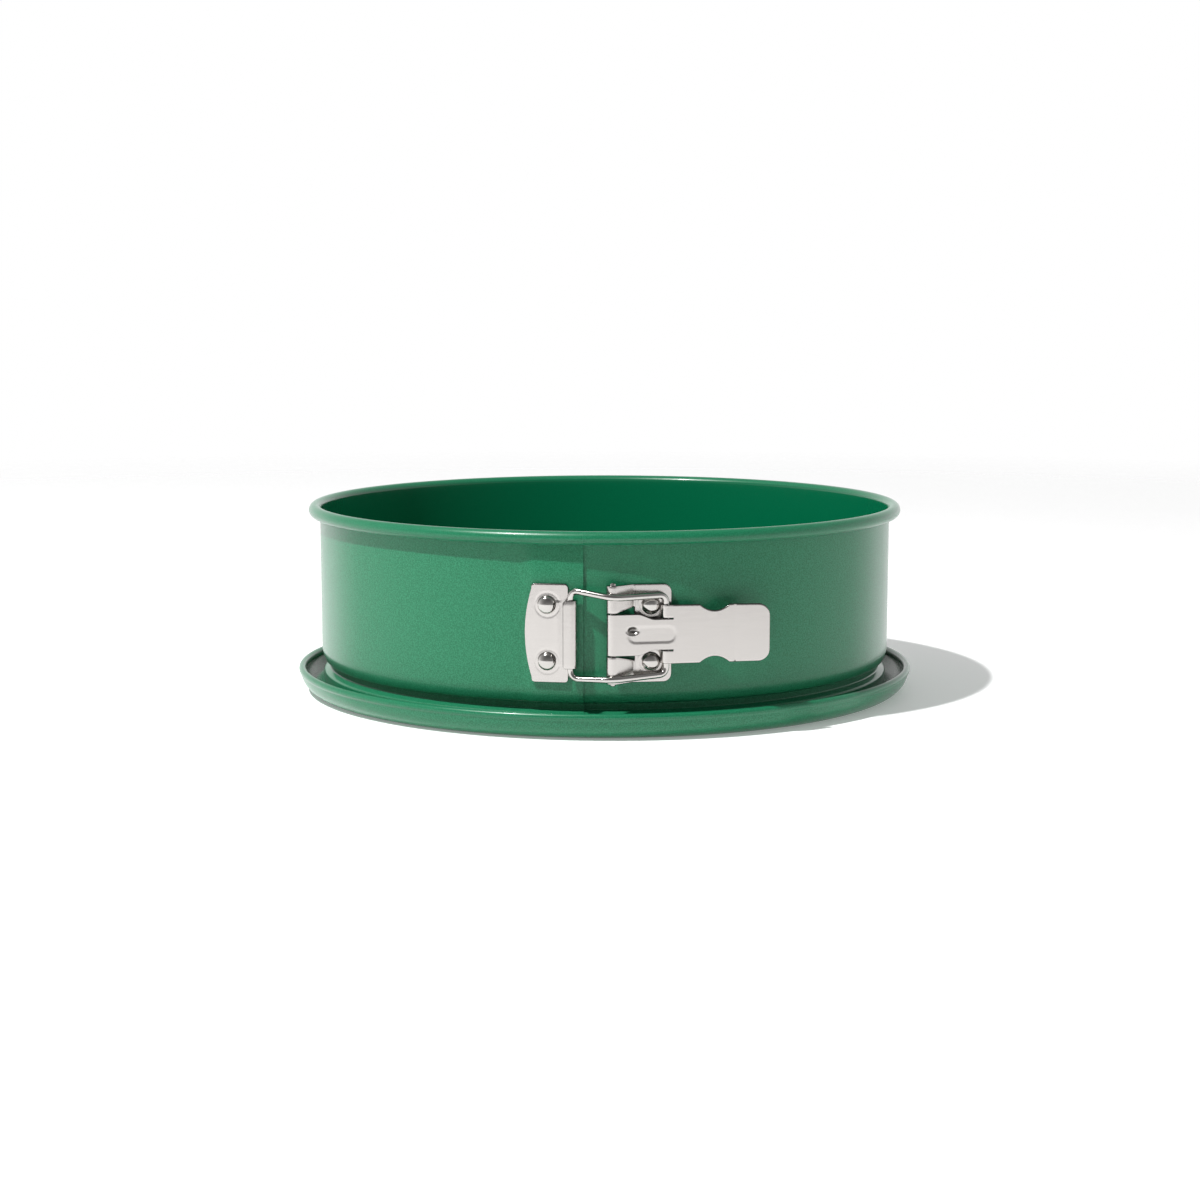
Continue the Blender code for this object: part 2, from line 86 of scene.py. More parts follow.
# %% [markdown]
# ## Making a surface
# A pressed or turned piece is one closed section carried along a path. Both are arrays, so the grid of
# points comes from one multiplication and its faces from index arithmetic. Doubled points at a pole are
# merged, and the normals are worked out again, so that every shell is closed and faces outwards.

# %% Helpers for grids, arcs and sections


def arc(centre, radius, start, end, steps):
    """Points centre + radius * (cos a, sin a), for angles a from start to end in degrees."""
    angles = np.radians(np.linspace(start, end, steps + 1))
    return np.array(centre) + radius * np.stack([np.cos(angles), np.sin(angles)], axis=1)


def rounded(corners, radii, steps=5):
    """A polyline whose inner corners P become parabolas (1-t)^2 A + 2t(1-t) P + t^2 B, where A and B lie
    a radius before and after P."""
    corners = np.array(corners, float)
    t = np.linspace(0.0, 1.0, steps + 1)[:, None]
    parts = [corners[:1]]
    for before, corner, after, radius in zip(corners, corners[1:], corners[2:], radii):
        a = corner + (before - corner) / np.linalg.norm(before - corner) * radius
        b = corner + (after - corner) / np.linalg.norm(after - corner) * radius
        parts.append((1 - t) ** 2 * a + 2 * t * (1 - t) * corner + t**2 * b)
    return np.concatenate(parts + [corners[-1:]])


def side_vectors(line):
    """Unit vectors square to a plane line, 90 degrees clockwise from its direction."""
    along = np.gradient(line, axis=0)
    along /= np.linalg.norm(along, axis=1)[:, None]
    return np.stack([along[:, 1], -along[:, 0]], axis=1)


def sheet_section(line, thickness):
    """A closed outline: the line moved half a thickness to its left, a pointed end, and back on its right."""
    side = side_vectors(line) * thickness / 2
    tip = line[-1] + side_vectors(line)[-1] @ np.array([[0, 1], [-1, 0]]) * thickness / 2
    heel = line[0] - side_vectors(line)[0] @ np.array([[0, 1], [-1, 0]]) * thickness / 2
    return np.concatenate([line - side, [tip], (line + side)[::-1], [heel]])


def loft_faces(count, size, wrap):
    """Quads (i, j), (i, j+1), (i+1, j+1), (i+1, j) on a grid whose sections close, with flat ends."""
    i = np.arange(count if wrap else count - 1)[:, None] * size
    there = (i + size) % (count * size)
    j = np.arange(size)[None, :]
    ahead = (j + 1) % size
    faces = np.stack([i + j, i + ahead, there + ahead, there + j], axis=-1).reshape(-1, 4).tolist()
    if not wrap:
        faces += [list(range(size))[::-1], list(range((count - 1) * size, count * size))]
    return faces


def shell(name, grids, wrap=False, sharp=35, marks=None, label="inner"):
    """One mesh of several closed lofts. Each grid is (stations, section points, 3) in millimetres, and marks
    holds one value for each point, kept as the attribute called label."""
    faces, offset = [], 0
    for grid in grids:
        faces += [[offset + index for index in face] for face in loft_faces(*grid.shape[:2], wrap)]
        offset += grid.shape[0] * grid.shape[1]
    points = np.concatenate([grid.reshape(-1, 3) for grid in grids]) * MM
    mesh = bpy.data.meshes.new(name)
    mesh.from_pydata(points.tolist(), [], faces)
    if marks is not None:
        values = np.concatenate([mark.reshape(-1) for mark in marks]).astype(np.float32)
        mesh.attributes.new(label, "FLOAT", "POINT").data.foreach_set("value", values)
    work = bmesh.new()
    work.from_mesh(mesh)
    bmesh.ops.remove_doubles(work, verts=work.verts, dist=1e-7)
    bmesh.ops.recalc_face_normals(work, faces=work.faces)
    work.to_mesh(mesh)
    work.free()
    mesh.shade_smooth()
    mesh.set_sharp_from_angle(angle=math.radians(sharp))
    piece = bpy.data.objects.new(name, mesh)
    bpy.context.scene.collection.objects.link(piece)
    print(name, len(mesh.polygons), "faces")
    return piece


def finish_piece(piece, body, slot, material, *nodes):
    """Dress a piece, let it ride on its body, and let it stand for its CAD nodes."""
    piece.data.materials.append(material)
    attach(piece, body)
    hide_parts(*nodes)


print("a quarter arc of radius 2 ends at", arc((0.0, 0.0), 2.0, 0, 90, 8)[-1].round(6))

# %% [markdown]
# ## Shared effects
# Two effects turn up in more than one finish. A sprayed non-stick coat dries with a fine speckle, and
# rolled steel keeps a faint grain. Each is a group that turns object space into a mask and a height, and
# the material decides how strongly it shows.

# %% Effect groups


def effect_group(name, inputs, outputs):
    """An empty node group with named float inputs (name, default) and outputs."""
    group = bpy.data.node_groups.new(name, "ShaderNodeTree")
    for label, value in inputs:
        group.interface.new_socket(label, in_out="INPUT", socket_type="NodeSocketFloat").default_value = value
    for label in outputs:
        group.interface.new_socket(label, in_out="OUTPUT", socket_type="NodeSocketFloat")
    return group, group.nodes.new("NodeGroupInput"), group.nodes.new("NodeGroupOutput")


def speckle_group():
    """Two sizes of noise on object space: grains for the mask, their sum with soft waves for the height."""
    inputs = [("Grain size", 2600.0), ("Wave size", 260.0)]
    group, source, result = effect_group("coat_speckle", inputs, ["Mask", "Height"])
    place = group.nodes.new("ShaderNodeTexCoord")
    grain = group.nodes.new("ShaderNodeTexNoise")
    wave = group.nodes.new("ShaderNodeTexNoise")
    ramp = group.nodes.new("ShaderNodeMapRange")
    total = group.nodes.new("ShaderNodeMath")
    grain.inputs["Detail"].default_value = 1.0
    wave.inputs["Detail"].default_value = 2.0
    ramp.inputs["From Min"].default_value = 0.38
    ramp.inputs["From Max"].default_value = 0.64
    link = group.links.new
    for noise, label in ((grain, "Grain size"), (wave, "Wave size")):
        link(place.outputs["Object"], noise.inputs["Vector"])
        link(source.outputs[label], noise.inputs["Scale"])
    link(grain.outputs["Fac"], ramp.inputs["Value"])
    link(ramp.outputs["Result"], result.inputs["Mask"])
    link(grain.outputs["Fac"], total.inputs[0])
    link(wave.outputs["Fac"], total.inputs[1])
    link(total.outputs[0], result.inputs["Height"])
    return group


def grain_group():
    """Noise drawn out along the band's round, so that it reads as the grain of rolled sheet."""
    inputs = [("Fineness", 900.0), ("Stretch", 0.12)]
    group, source, result = effect_group("sheet_grain", inputs, ["Mask", "Height"])
    place = group.nodes.new("ShaderNodeTexCoord")
    stretch = group.nodes.new("ShaderNodeCombineXYZ")
    scaled = group.nodes.new("ShaderNodeVectorMath")
    noise = group.nodes.new("ShaderNodeTexNoise")
    scaled.operation = "MULTIPLY"
    stretch.inputs["Y"].default_value = 0.4
    stretch.inputs["Z"].default_value = 1.0
    noise.inputs["Detail"].default_value = 3.0
    link = group.links.new
    link(source.outputs["Stretch"], stretch.inputs["X"])
    link(place.outputs["Object"], scaled.inputs[0])
    link(stretch.outputs["Vector"], scaled.inputs[1])
    link(scaled.outputs["Vector"], noise.inputs["Vector"])
    link(source.outputs["Fineness"], noise.inputs["Scale"])
    link(noise.outputs["Fac"], result.inputs["Mask"])
    link(noise.outputs["Fac"], result.inputs["Height"])
    return group


SPECKLE, GRAIN = speckle_group(), grain_group()
print("effect groups:", SPECKLE.name, "and", GRAIN.name)

# %% [markdown]
# ## Green coating
# The outside is sprayed with a satin coat that holds a fine pale speckle. The inside has a second,
# smoother non-stick coat, darker and glossier. One material does both: the attribute 'inner' on the mesh
# says which side of the sheet a point is on, and mixes the two colours and the two roughnesses. The
# rolled edges lie between the two. Seen at a grazing angle the outside turns pale, so its clear coat
# grows with the facing value.

# %% Coating material


def mixed_colour(tree, factor, first, second):
    """First * (1 - factor) + second * factor. Either may be a colour or a socket."""
    node = tree.nodes.new("ShaderNodeMix")
    node.data_type = "RGBA"
    tree.links.new(factor, node.inputs["Factor"])
    for socket, colour in (("A", first), ("B", second)):
        where = [item for item in node.inputs if item.name == socket and item.type == "RGBA"][0]
        if isinstance(colour, tuple):
            where.default_value = (*colour, 1.0)
        else:
            tree.links.new(colour, where)
    return [item for item in node.outputs if item.type == "RGBA"][0]


def ranged(tree, value, low, high):
    """Low + (high - low) * value, for a value from 0 to 1."""
    node = tree.nodes.new("ShaderNodeMapRange")
    node.inputs["To Min"].default_value = low
    node.inputs["To Max"].default_value = high
    tree.links.new(value, node.inputs["Value"])
    return node.outputs["Result"]


def bumped(tree, height, strength, distance):
    """The normal of a surface raised by the height, times a distance in metres."""
    node = tree.nodes.new("ShaderNodeBump")
    node.inputs["Strength"].default_value = strength
    node.inputs["Distance"].default_value = distance
    tree.links.new(height, node.inputs["Height"])
    return node.outputs["Normal"]


def coating(name):
    """The two coats, mixed by the attribute inner; the clear coat grows between facing 0.5 and 0.7."""
    material = bpy.data.materials.new(name)
    material.use_nodes = True
    tree = material.node_tree
    shader = tree.nodes["Principled BSDF"]
    speckle = tree.nodes.new("ShaderNodeGroup")
    speckle.node_tree = SPECKLE
    inner = tree.nodes.new("ShaderNodeAttribute")
    inner.attribute_name = "inner"
    outside = mixed_colour(tree, speckle.outputs["Mask"], (0.002, 0.138, 0.058), (0.018, 0.205, 0.098))
    inside = mixed_colour(tree, speckle.outputs["Mask"], (0.0005, 0.130, 0.056), (0.0008, 0.139, 0.060))
    tree.links.new(mixed_colour(tree, inner.outputs["Fac"], outside, inside), shader.inputs["Base Color"])
    tree.links.new(ranged(tree, inner.outputs["Fac"], 0.42, 0.20), shader.inputs["Roughness"])
    tree.links.new(bumped(tree, speckle.outputs["Height"], 0.10, 0.0002), shader.inputs["Normal"])
    shader.inputs["Specular IOR Level"].default_value = 0.4
    facing = tree.nodes.new("ShaderNodeLayerWeight")
    sheen = tree.nodes.new("ShaderNodeMapRange")
    for label, value in (("From Min", 0.5), ("From Max", 0.7), ("To Min", 0.14)):
        sheen.inputs[label].default_value = value
    tree.links.new(facing.outputs["Facing"], sheen.inputs["Value"])
    tree.links.new(ranged(tree, inner.outputs["Fac"], 0.55, 0.14), sheen.inputs["To Max"])
    tree.links.new(sheen.outputs["Result"], shader.inputs["Coat Weight"])
    shader.inputs["Coat Roughness"].default_value = 0.12
    return material


GREEN = coating("green_coating")
print(GREEN.name, "has", len(GREEN.node_tree.nodes), "nodes")

# %% [markdown]
# ## Steel
# The latch's sheet parts are plated and tumbled, so they are bright but soft: they mirror the room as a
# blur. The wire, the pin and the rivets are drawn and headed, and stay much shinier. Both are the same
# recipe with other values.

# %% Steel materials


def plated_steel(name, colour, roughness, spread, bump):
    """Metal whose colour and roughness follow the grain. It is darker where the edge mark is 1: partly the
    dull sheared steel, partly painted shade and painted dark reflection along edges, free ends and the rib's
    well.
    """
    material = bpy.data.materials.new(name)
    material.use_nodes = True
    tree = material.node_tree
    shader = tree.nodes["Principled BSDF"]
    grain = tree.nodes.new("ShaderNodeGroup")
    grain.node_tree = GRAIN
    # The darkest colour, 0.22 of the steel's, stands for dull sheared steel and also for painted shade and
    # painted dark reflection.
    darker, edge_and_shade_colour = (tuple(share * value for value in colour) for share in (0.94, 0.22))
    edge = tree.nodes.new("ShaderNodeAttribute")
    edge.attribute_name = "cut_edge_and_shade"
    face = mixed_colour(tree, grain.outputs["Mask"], darker, colour)
    tree.links.new(mixed_colour(tree, edge.outputs["Fac"], face, edge_and_shade_colour), shader.inputs["Base Color"])
    gloss = ranged(tree, grain.outputs["Mask"], roughness - spread, roughness + spread)
    tree.links.new(gloss, shader.inputs["Roughness"])
    tree.links.new(bumped(tree, grain.outputs["Height"], bump, 0.0001), shader.inputs["Normal"])
    shader.inputs["Metallic"].default_value = 1.0
    return material


SATIN = plated_steel("satin_steel", (0.575, 0.55, 0.53), 0.22, 0.04, 0.08)
BRIGHT = plated_steel("bright_steel", (0.56, 0.54, 0.52), 0.13, 0.03, 0.03)
print("steels:", SATIN.name, "and", BRIGHT.name)

# %% [markdown]
# ## Base
# One disc of sheet is pressed into a raised floor, a round-bottomed trough and an outer edge that is
# rolled over. A pressed disc is a turned shape, so its whole outline is spun once round the axis; the two
# end points on the axis close into poles.

# %% Base plate
ROLLED_GLOSS = 0.4


def spin(outline, angles):
    """Points (r sin a, -r cos a, z): the outline (r, z) carried round the pan's axis."""
    a = np.radians(angles)[:, None]
    r, z = outline[None, :, 0], outline[None, :, 1]
    return np.stack([r * np.sin(a), -r * np.cos(a), z + 0 * a], axis=-1)


def base_outline():
    """From the axis over the floor, the trough and the rolled edge, and back underneath. Also how many of the
    points come before the rolled edge, and before its end."""
    sheet, floor_z, floor_r, corner = 0.8, 7.2, 96.3, 1.5
    tray_centre, tray_r = (100.6, 7.5), 7.5
    top = [
        [(0.0, floor_z), (60.0, floor_z)],
        arc((floor_r - corner, floor_z - corner), corner, 90, 0, 10),
        arc((floor_r + corner, sheet + corner), corner, 180, 270, 10),
        arc(tray_centre, tray_r - sheet, -88, -14, 26),
        arc((107.4, 7.7), 1.215, 200, -42, 30),
        arc(tray_centre, tray_r, -7.5, -90, 28),
        arc((floor_r + corner, sheet + corner), corner + sheet, 270, 180, 10),
        arc((floor_r - corner, floor_z - corner), corner - sheet, 0, 90, 8),
        [(60.0, floor_z - sheet), (0.0, floor_z - sheet)],
    ]
    edge_start = sum(len(part) for part in top[:4])
    return np.concatenate([np.array(part) for part in top]), edge_start, edge_start + len(top[4])


outline, edge_start, edge_end = base_outline()
round_angles = np.linspace(-180.0, 180.0, 361)[:-1]
grid = spin(outline, round_angles)
glossy = np.zeros(len(outline))
glossy[:edge_start] = 1.0
glossy[edge_start:edge_end] = ROLLED_GLOSS
base = shell("base_plate_skin", [grid], wrap=True, marks=[np.tile(glossy, (len(round_angles), 1))])
finish_piece(base, "base", "green_enamel", GREEN, "base_plate")

# %% [markdown]
# ## Ring
# The ring is one strip of sheet, rolled through shaped rollers and bent into a hoop. Its section is a
# line (foot, ledge, groove, wall and rim curl) with a thickness, and the hoop is that section carried
# round. The left end steps out by a little more than the sheet, so that it laps over the right end. The
# ring is built as two halves that meet at the back, where the real ring bends when the latch lets go.

# %% Ring halves
INNER_COAT_TOP_Z, CURL_POINTS_OUTSIDE = 64.5, 34
TUCK_LOW_Z, TUCK_HIGH_Z, TUCK_INNER_R = 16.5, 58.2, 99.9
LAP_DEGREES = 0.8


def band_line():
    """The middle of the sheet (r, z), from the foot's lower edge up and once round the rim's curl."""
    middle = WALL_SHEET / 2
    lower = rounded(
        [
            (99.8 - middle, 1.9),
            (99.8 - middle, 7.15),
            (97.3 - middle, 8.1),
            (97.3 - middle, 10.75),
            (99.0, 11.15),
            (WALL_MIDDLE_R, 14.2),
            (WALL_MIDDLE_R, 20.0),
        ],
        [0.55, 0.6, 0.55, 0.55, 1.9],
        6,
    )
    wall = np.stack([np.full(6, WALL_MIDDLE_R), np.linspace(28.0, 62.0, 6)], axis=1)
    curl = arc(RIM_CENTRE, RIM_TUBE_R - middle, 180, -126, 44)
    return np.concatenate([lower, wall, curl])


def angle_at(x, radius=WALL_OUTER_R):
    """The angle round the axis, in degrees, whose sine is x / radius."""
    return math.degrees(math.asin(x / radius))


def joggle(angles):
    """Outward shift: JOGGLE times 3t^2 - 2t^3, for t from 0 to 1 between the step's two ends."""
    start, end = angle_at(JOGGLE_START_X), angle_at(JOGGLE_END_X)
    t = np.clip((angles - start) / (end - start), 0, 1)
    return JOGGLE * (3 * t**2 - 2 * t**3)


line = band_line()
section = sheet_section(line, WALL_SHEET)
inner_side = np.zeros(len(section))
before_curl = np.arange(len(line)) < len(line) - CURL_POINTS_OUTSIDE
inner_side[: len(line)] = np.where((line[:, 1] < INNER_COAT_TOP_Z) & before_curl, 1.0, ROLLED_GLOSS)


def half_ring(name, angles, shift, lap, extra=()):
    """The section carried round, moved out by shift below the rim, and lengthened by lap at its first
    station."""
    below_rim = np.clip((62.5 - section[:, 1]) / 4.0, 0.0, 1.0)[None, :]
    front = (angles == angles[0])[:, None]
    a = np.radians(angles[:, None] - lap * front * (below_rim > 0.5))
    r = section[None, :, 0] + shift[:, None] * below_rim
    grid = np.stack([r * np.sin(a), -r * np.cos(a), section[None, :, 1] + 0 * a], axis=-1)
    marks = [np.tile(inner_side, (len(angles), 1))] + [mark for _, mark in extra]
    return shell(name, [grid] + [part for part, _ in extra], marks=marks)


def tuck():
    """The plain strip of the right end that lies behind the left end."""
    angles = np.linspace(angle_at(TUCK_END_X), angle_at(SEAM_RIGHT_X), 8)
    inner = [(TUCK_INNER_R, TUCK_LOW_Z), (TUCK_INNER_R, TUCK_HIGH_Z)]
    outer = [(WALL_OUTER_R, TUCK_HIGH_Z), (WALL_OUTER_R, TUCK_LOW_Z)]
    strip = np.array(inner + outer)
    mark = np.tile(np.array([1.0, 1.0, 0.0, 0.0]), (len(angles), 1))
    return spin(strip, angles), mark


left_angles = np.linspace(-180.0, angle_at(SEAM_LEFT_X), 240)
left_half = half_ring("ring_left_half", left_angles, joggle(left_angles), 0.0)
right_angles = np.linspace(angle_at(SEAM_RIGHT_X), 180.0, 240)
right_half = half_ring("ring_right_half", right_angles, 0 * right_angles, LAP_DEGREES, [tuck()])

for half, side, body in ((left_half, -1, "ring_left"), (right_half, 1, "ring_right")):
    half.data.materials.append(GREEN)
    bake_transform(half)
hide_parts("band_left", "band_back")
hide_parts("band_right")

# %% [markdown]
# ## Bent sheet
# The brackets and the lever are blanks cut from flat sheet and bent. Seen from above, a blank is a line
# that curls and straightens; its height changes along it as the cut edge does. So the surface is a
# function of the distance along the line and of the height, with softly rounded edges, and a stamped rib
# is a depth added to it.

# %% Bent sheet helper


def bent_sheet(path, low, high, thickness, rows=24, stamp=None):
    """Grid of a strip. Station s has its middle at path(s), spans low(s) to high(s) above the latch's level,
    and its faces lie half a thickness either side, less an edge radius at the four corners. The thickness is
    one value or one for each station. stamp(s, z) moves both faces towards the back."""
    side = side_vectors(path)
    edge = 0.18
    v = np.linspace(-1.0, 1.0, rows)
    middle, half = (low + high)[:, None] / 2, (high - low)[:, None] / 2
    z = middle + np.maximum(half - edge, 0.02) * v[None, :]
    stamped = np.zeros_like(z) if stamp is None else stamp(z)
    turn = np.radians(np.array([30.0, 60.0]))
    round_z, round_d = edge * np.sin(turn), edge * np.cos(turn) - edge
    top, bottom = z[:, -1:], z[:, :1]
    heights = [z, top + round_z, np.repeat(top + edge, 2, axis=1), top + round_z[::-1]]
    heights += [z[:, ::-1], bottom - round_z, np.repeat(bottom - edge, 2, axis=1), bottom - round_z[::-1]]
    ones = np.ones((len(path), 1))
    t = ones * np.reshape(thickness, (-1, 1)) / 2
    across = np.concatenate([t - edge, edge - t], axis=1)
    depths = [t - stamped, t + round_d, across, -(t + round_d[::-1])]
    depths += [-t - stamped[:, ::-1], -(t + round_d), -across, t + round_d[::-1]]
    height, depth = np.concatenate(heights, axis=1), np.concatenate(depths, axis=1)
    flat = path[:, None, :] + side[:, None, :] * depth[:, :, None]
    return np.concatenate([flat, (LATCH_Z + height)[:, :, None]], axis=2)


def cut_edge_and_shade_marks(grids, rows, ends):
    """1 on the upper and lower edges of each strip, 0.8 on the top row of its front face and across a free
    end, and 0 on its faces. The darkening is partly the dull sheared steel and partly painted shade: a dark
    line along the top and a painted shadow at a free end."""
    marks = []
    for grid, count, free_end in zip(grids, rows, ends):
        side = np.concatenate([np.zeros(count), np.ones(6)])
        mark = np.concatenate([side, side])
        mark[count - 1] = 0.8
        mark = np.tile(mark, (grid.shape[0], 1))
        mark[-1] = np.maximum(mark[-1], 0.8 * free_end)
        marks.append(mark)
    return marks


def wall_path(radius, start_x, end_x, steps):
    """Points (r sin a, -r cos a) at one radius, between two places across the latch."""
    a = np.linspace(math.asin(start_x / radius), math.asin(end_x / radius), steps + 1)
    return radius * np.stack([np.sin(a), -np.cos(a)], axis=1)


def ring_stamp(distance, centres, radius, depth):
    """Depth times exp(-(q/0.3)^2), where q is how far a point lies from a circle of the radius round the
    nearest centre (distance, height)."""

    def stamp(z):
        gaps = [np.hypot(distance[:, None] - d, z - h) - radius for d, h in centres]
        nearest = np.min(np.abs(np.stack(gaps)), axis=0)
        return depth * np.exp(-((nearest / 0.3) ** 2))

    return stamp


on_ring = ring_stamp(np.zeros(1), [(0.0, 0.0)], TOOL_RING_R, TOOL_RING_DEPTH)(np.full((1, 1), TOOL_RING_R))
print("the rivet tool's ring is", on_ring[0, 0], "mm deep")

# %% [markdown]
# ## Catch bracket
# This plate is riveted to the ring's left end. Its left edge is bowed, its right side is folded back
# round the bail's leg, and a light ring shows where the rivet tool pressed. The fold is shorter than the
# plate, so plate and fold are two strips that meet.

# %% Catch bracket
CATCH_RIVET_X, RIVET_SPREAD = -18.1, 9.0
CATCH_LEFT_X, CATCH_RIGHT_X, BOW = -25.2, -11.7, 2.2
catch_r = WALL_OUTER_R + JOGGLE + SEAT_GAP + GAUGE / 2


def corner_drop(gap, radius):
    """How far a rounded corner lies below its edge, at a distance gap from the piece's end."""
    t = np.clip(1 - gap / radius, 0.0, 1.0)
    return radius * (1 - np.sqrt(1 - t**2))


def catch_grids():
    """The plate, with its left edge bowed as a square root of the distance, and the fold round the bail."""
    plate = wall_path(catch_r, CATCH_LEFT_X, CATCH_RIGHT_X, 90)
    gap = plate[:, 0] - CATCH_LEFT_X
    bowed = 14.6 * np.sqrt(np.clip(gap / BOW, 0.0, 1.0))
    left_corner = 15.7 - corner_drop(np.maximum(gap - BOW * 0.72, 0), 1.6)
    half = np.minimum(left_corner, np.where(gap < BOW, bowed, 99))
    half = np.minimum(half, 15.7 - corner_drop(CATCH_RIGHT_X - plate[:, 0], 1.0))
    half = np.maximum(half, 0.6)
    distance = plate[:, 0]
    centres = [(CATCH_RIVET_X, RIVET_SPREAD), (CATCH_RIVET_X, -RIVET_SPREAD)]
    rings = ring_stamp(distance, centres, TOOL_RING_R, TOOL_RING_DEPTH)

    def stamp(z):
        crease = 0.22 * np.exp(-(((distance[:, None] + 14.9) / 0.9) ** 2)) * (np.abs(z) < 10.0)
        return rings(z) - crease * 0.6

    outer = math.degrees(math.atan2(FOLD[1], FOLD[0]))
    fold_r = WIRE_R + RUNNING_GAP + GAUGE / 2
    fold = arc(FOLD[:2], fold_r, outer + 180, outer, 28)
    run_in = wall_path(catch_r, CATCH_RIGHT_X - 0.6, FOLD[0] - 0.1, 4)
    leftwards = np.array([math.sin(math.radians(outer)), -math.cos(math.radians(outer))])
    flap = fold[-1] + leftwards * np.linspace(0.3, 2.2, 6)[:, None]
    folded = np.concatenate([run_in, fold[1:], flap])
    height = np.full(len(folded), 10.8) - corner_drop(np.arange(len(folded))[::-1] * 0.4, 0.8)
    return [
        bent_sheet(plate, -half, half, GAUGE, 90, stamp),
        bent_sheet(folded, -height, height, GAUGE * 0.98, 16),
    ]


grids = catch_grids()
# The edge marks darken the cut edges and the fold's free end: partly dull sheared steel, partly painted
# shade.
catch = shell("catch_bracket_skin", grids, marks=cut_edge_and_shade_marks(grids, [90, 16], [0, 1]), label="cut_edge_and_shade")
finish_piece(catch, "ring_left", "satin_steel", SATIN, "catch_bracket")

# %% [markdown]
# ## Lever bracket
# The second plate is riveted to the ring's right end. A window divides its left side into two arms, which
# rise from the wall on a slope and curl round the ends of the hinge pin as knuckles.

# %% Lever bracket
BRACKET_RIVET_X, BRACKET_RIGHT_X, FLANGE_X, WINDOW_X = 14.2, 20.7, 8.7, 9.3
bracket_r = WALL_OUTER_R + SEAT_GAP + GAUGE / 2


def bracket_grids():
    """The plate, and its two arms: up from the wall along the tangent to the curl, and 250 degrees round."""
    plate = wall_path(bracket_r, BRACKET_RIGHT_X, WINDOW_X, 70)
    half = 15.6 - corner_drop(BRACKET_RIGHT_X - plate[:, 0], 2.4)
    centres = [(BRACKET_RIVET_X, RIVET_SPREAD), (BRACKET_RIVET_X, -RIVET_SPREAD)]
    stamp = ring_stamp(plate[:, 0], centres, TOOL_RING_R, TOOL_RING_DEPTH)
    curl_r = PIN_BORE_R + GAUGE / 2
    start = wall_path(bracket_r, WINDOW_X, FLANGE_X, 2)[-1]
    reach = start - PIN[:2]
    touch = math.degrees(math.atan2(reach[1], reach[0]) - math.acos(curl_r / np.linalg.norm(reach)))
    curl = arc(PIN[:2], curl_r, touch, touch - 250, 40)
    root = wall_path(bracket_r, WINDOW_X, FLANGE_X + 0.2, 2)
    line = np.concatenate([root, rounded([root[-1], start, curl[0]], [0.15], 5)[1:], curl[1:]])
    outer_edge = 14.9 + 0.7 * np.minimum(1.0, np.arange(len(line))[::-1] / 3)
    inner_edge = 6.9 + 1.5 * np.clip((line[:, 0] - 4.2) / 1.4, 0.0, 1.0)
    return [
        bent_sheet(plate, -half, half, GAUGE, 90, stamp),
        bent_sheet(line, inner_edge, outer_edge, GAUGE, 12),
        bent_sheet(line, -outer_edge, -inner_edge, GAUGE, 12),
    ]


grids = bracket_grids()
# The edge marks darken the cut edges and the plate's end: partly dull sheared steel, partly painted shade.
edges = cut_edge_and_shade_marks(grids, [90, 12, 12], [1, 0, 0])
bracket = shell("lever_bracket_skin", grids, marks=edges, label="cut_edge_and_shade")
finish_piece(bracket, "ring_right", "satin_steel", SATIN, "lever_bracket")

# %% [markdown]
# ## Lever
# The lever is one blank: a tongue that curls round the pin and is stiffened by a stamped rib, a wide
# plate with two thumb notches, a tab bent up a little for the finger, and two shoulders that are curled
# round the bail's right leg. The shoulders are coined thinner as they turn and stop short of the bracket,
# so that they clear the plate and the rivet heads. The blank is built as its strips, which meet where the
# tongue widens.

# %% Lever
LEVER_TILT, TAB_TILT, BEND_AT, LEVER_END = 9.5, 8.0, 38.7, 49.9
LEG_AT, ROOT_AT = 17.0, 19.0
SHOULDER_FROM, SHOULDER_TO, SHOULDER_TURN, SHOULDER_THINNING = 5.15, 9.35, 127, 0.4
NOTCH_AT, NOTCH_HALF, NOTCH_DEPTH = 32.2, 4.8, 2.0
tilt = math.radians(LEVER_TILT)
lever_along = np.array([math.cos(tilt), math.sin(tilt)])
lever_front = np.array([math.sin(tilt), -math.cos(tilt)])
lever_r = PIN_BORE_R + LEVER_GAUGE / 2
leg = PIN[:2] + lever_along * LEG_AT + lever_front * (PIN_BORE_R - RUNNING_GAP - WIRE_R)


def lever_line(distance):
    """The plate's middle, at a distance from the pin: straight, and turned up past the bend."""
    tab = np.array([math.cos(math.radians(TAB_TILT)), math.sin(math.radians(TAB_TILT))])
    past = np.maximum(distance - BEND_AT, 0.0)[:, None]
    return PIN[:2] + lever_front * lever_r + lever_along * (distance[:, None] - past) + tab * past


def well(d, z):
    """1 at the bottom of the rib's deep start and 0 outside an ellipse 2.4 mm by 1.6 mm."""
    t = np.clip((1.6 - np.hypot((d - 6.0) / 1.5, z - 1.3)) / 1.4, 0.0, 1.0)
    return 3 * t**2 - 2 * t**3


def rib(distance):
    """A shallow trough with round ends, a deep well where it starts near the pin, and the tab's crease."""

    def stamp(z):
        d = distance[:, None]
        q = np.hypot(d - np.clip(d, 7.0, 17.2), z)
        wall = np.clip((3.15 - q) / 1.2, 0.0, 1.0)
        crease = 0.07 * np.exp(-(((d - BEND_AT) / 0.35) ** 2))
        return 0.10 * (3 * wall**2 - 2 * wall**3) + 1.1 * well(d, z) + crease

    return stamp


